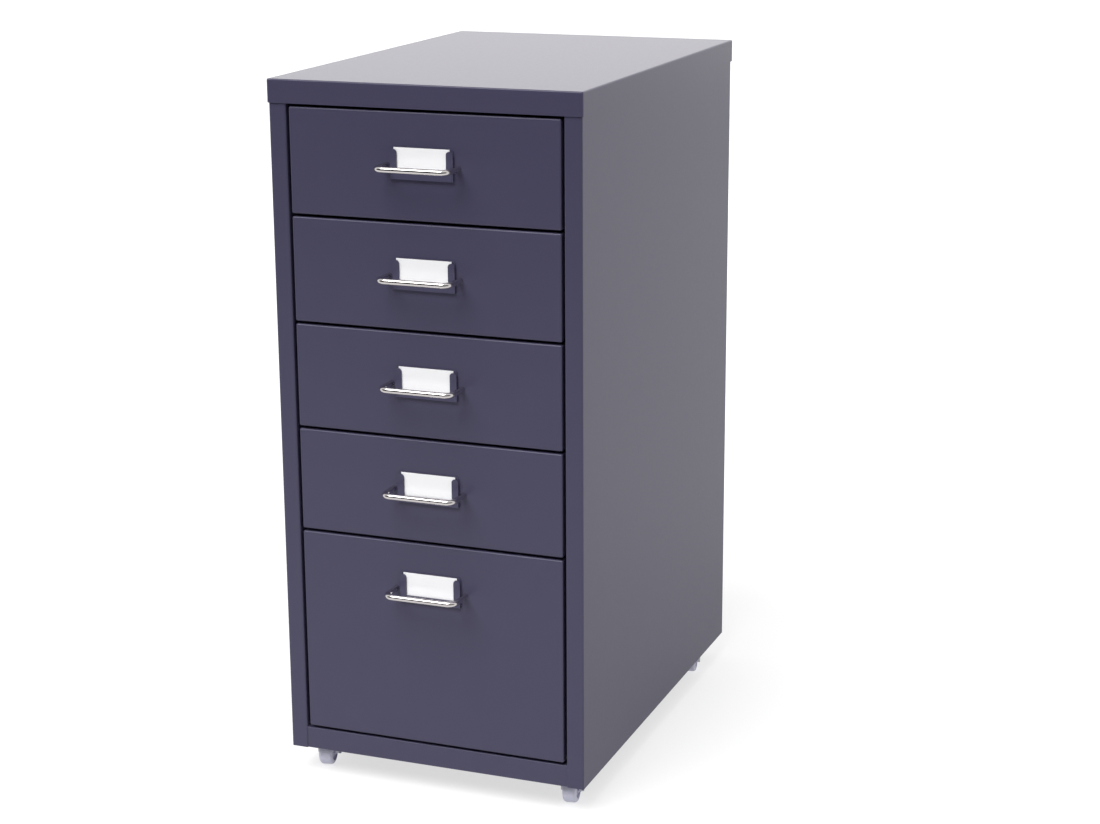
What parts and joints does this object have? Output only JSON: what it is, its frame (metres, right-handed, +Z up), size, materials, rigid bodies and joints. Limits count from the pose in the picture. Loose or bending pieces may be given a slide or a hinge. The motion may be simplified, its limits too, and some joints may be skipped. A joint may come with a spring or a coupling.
{
  "type": "mobile pedestal",
  "caption": "Narrow sheet steel drawer cabinet on castors, with shallow drawers over one deep drawer, wire pull handles and label holders.",
  "frame": {"origin": "on the floor under the middle of the whole object, with the handles at the front and the screw heads at the back counted in", "axes": "+Z up, the drawer fronts face -Y and the drawers open along -Y, +X to the right seen from the front"},
  "size_m": [0.28, 0.4379, 0.62],
  "materials": {
    "painted_steel": "satin slate powder coat",
    "chrome_wire": "bright plated round wire",
    "label_card": "blank white card",
    "castor_plastic": "smooth pale grey nylon",
    "zinc_steel": "bright zinc plate"
  },
  "bodies": {
    "cabinet": {"top_tray": "painted_steel", "left_side_panel": "painted_steel", "right_side_panel": "painted_steel", "back_panel": "painted_steel", "base_tray": "painted_steel", "cabinet_screws": "zinc_steel", "castor_stems": "zinc_steel", "castor_nuts": "zinc_steel", "drawer_1_runners": "painted_steel", "drawer_2_runners": "painted_steel", "drawer_3_runners": "painted_steel", "drawer_4_runners": "painted_steel", "drawer_5_runners": "painted_steel"},
    "drawer_1": {"drawer_1_front": "painted_steel", "drawer_1_box": "painted_steel", "drawer_1_handle": "chrome_wire", "drawer_1_label_holder": "painted_steel", "drawer_1_label_card": "label_card", "drawer_1_handle_screws": "zinc_steel"},
    "drawer_2": {"drawer_2_front": "painted_steel", "drawer_2_box": "painted_steel", "drawer_2_handle": "chrome_wire", "drawer_2_label_holder": "painted_steel", "drawer_2_label_card": "label_card", "drawer_2_handle_screws": "zinc_steel"},
    "drawer_3": {"drawer_3_front": "painted_steel", "drawer_3_box": "painted_steel", "drawer_3_handle": "chrome_wire", "drawer_3_label_holder": "painted_steel", "drawer_3_label_card": "label_card", "drawer_3_handle_screws": "zinc_steel"},
    "drawer_4": {"drawer_4_front": "painted_steel", "drawer_4_box": "painted_steel", "drawer_4_handle": "chrome_wire", "drawer_4_label_holder": "painted_steel", "drawer_4_label_card": "label_card", "drawer_4_handle_screws": "zinc_steel"},
    "drawer_5": {"drawer_5_front": "painted_steel", "drawer_5_box": "painted_steel", "drawer_5_handle": "chrome_wire", "drawer_5_label_holder": "painted_steel", "drawer_5_label_card": "label_card", "drawer_5_handle_screws": "zinc_steel"},
    "front_left_castor": {"front_left_castor_housing": "castor_plastic", "front_left_castor_axle": "zinc_steel"},
    "front_left_castor_wheel": {"front_left_castor_wheel": "castor_plastic"},
    "front_right_castor": {"front_right_castor_housing": "castor_plastic", "front_right_castor_axle": "zinc_steel"},
    "front_right_castor_wheel": {"front_right_castor_wheel": "castor_plastic"},
    "back_left_castor": {"back_left_castor_housing": "castor_plastic", "back_left_castor_axle": "zinc_steel"},
    "back_left_castor_wheel": {"back_left_castor_wheel": "castor_plastic"},
    "back_right_castor": {"back_right_castor_housing": "castor_plastic", "back_right_castor_axle": "zinc_steel"},
    "back_right_castor_wheel": {"back_right_castor_wheel": "castor_plastic"}
  },
  "joints": [
    {"name": "drawer_1_slide", "type": "slide", "parent": "cabinet", "child": "drawer_1", "axis": [0, -1, 0], "range_m": [0, 0.3]},
    {"name": "drawer_2_slide", "type": "slide", "parent": "cabinet", "child": "drawer_2", "axis": [0, -1, 0], "range_m": [0, 0.3]},
    {"name": "drawer_3_slide", "type": "slide", "parent": "cabinet", "child": "drawer_3", "axis": [0, -1, 0], "range_m": [0, 0.3]},
    {"name": "drawer_4_slide", "type": "slide", "parent": "cabinet", "child": "drawer_4", "axis": [0, -1, 0], "range_m": [0, 0.3]},
    {"name": "drawer_5_slide", "type": "slide", "parent": "cabinet", "child": "drawer_5", "axis": [0, -1, 0], "range_m": [0, 0.3]},
    {"name": "front_left_castor_swivel", "type": "hinge", "parent": "cabinet", "child": "front_left_castor", "pos_m": [-0.1176, -0.15845, 0.038], "axis": [0, 0, 1], "continuous": true},
    {"name": "front_left_castor_wheel_spin", "type": "hinge", "parent": "front_left_castor", "child": "front_left_castor_wheel", "pos_m": [-0.11594, -0.16628, 0.013], "axis": [0.9781, 0.2079, 0], "continuous": true},
    {"name": "front_right_castor_swivel", "type": "hinge", "parent": "cabinet", "child": "front_right_castor", "pos_m": [0.1176, -0.15845, 0.038], "axis": [0, 0, 1], "continuous": true},
    {"name": "front_right_castor_wheel_spin", "type": "hinge", "parent": "front_right_castor", "child": "front_right_castor_wheel", "pos_m": [0.11885, -0.16635, 0.013], "axis": [0.9877, 0.1564, 0], "continuous": true},
    {"name": "back_left_castor_swivel", "type": "hinge", "parent": "cabinet", "child": "back_left_castor", "pos_m": [-0.1204, 0.17055, 0.038], "axis": [0, 0, 1], "continuous": true},
    {"name": "back_left_castor_wheel_spin", "type": "hinge", "parent": "back_left_castor", "child": "back_left_castor_wheel", "pos_m": [-0.11248, 0.17166, 0.013], "axis": [-0.1392, 0.9903, 0], "continuous": true},
    {"name": "back_right_castor_swivel", "type": "hinge", "parent": "cabinet", "child": "back_right_castor", "pos_m": [0.1204, 0.17055, 0.038], "axis": [0, 0, 1], "continuous": true},
    {"name": "back_right_castor_wheel_spin", "type": "hinge", "parent": "back_right_castor", "child": "back_right_castor_wheel", "pos_m": [0.12193, 0.1627, 0.013], "axis": [0.9816, 0.1908, 0], "continuous": true}
  ]
}
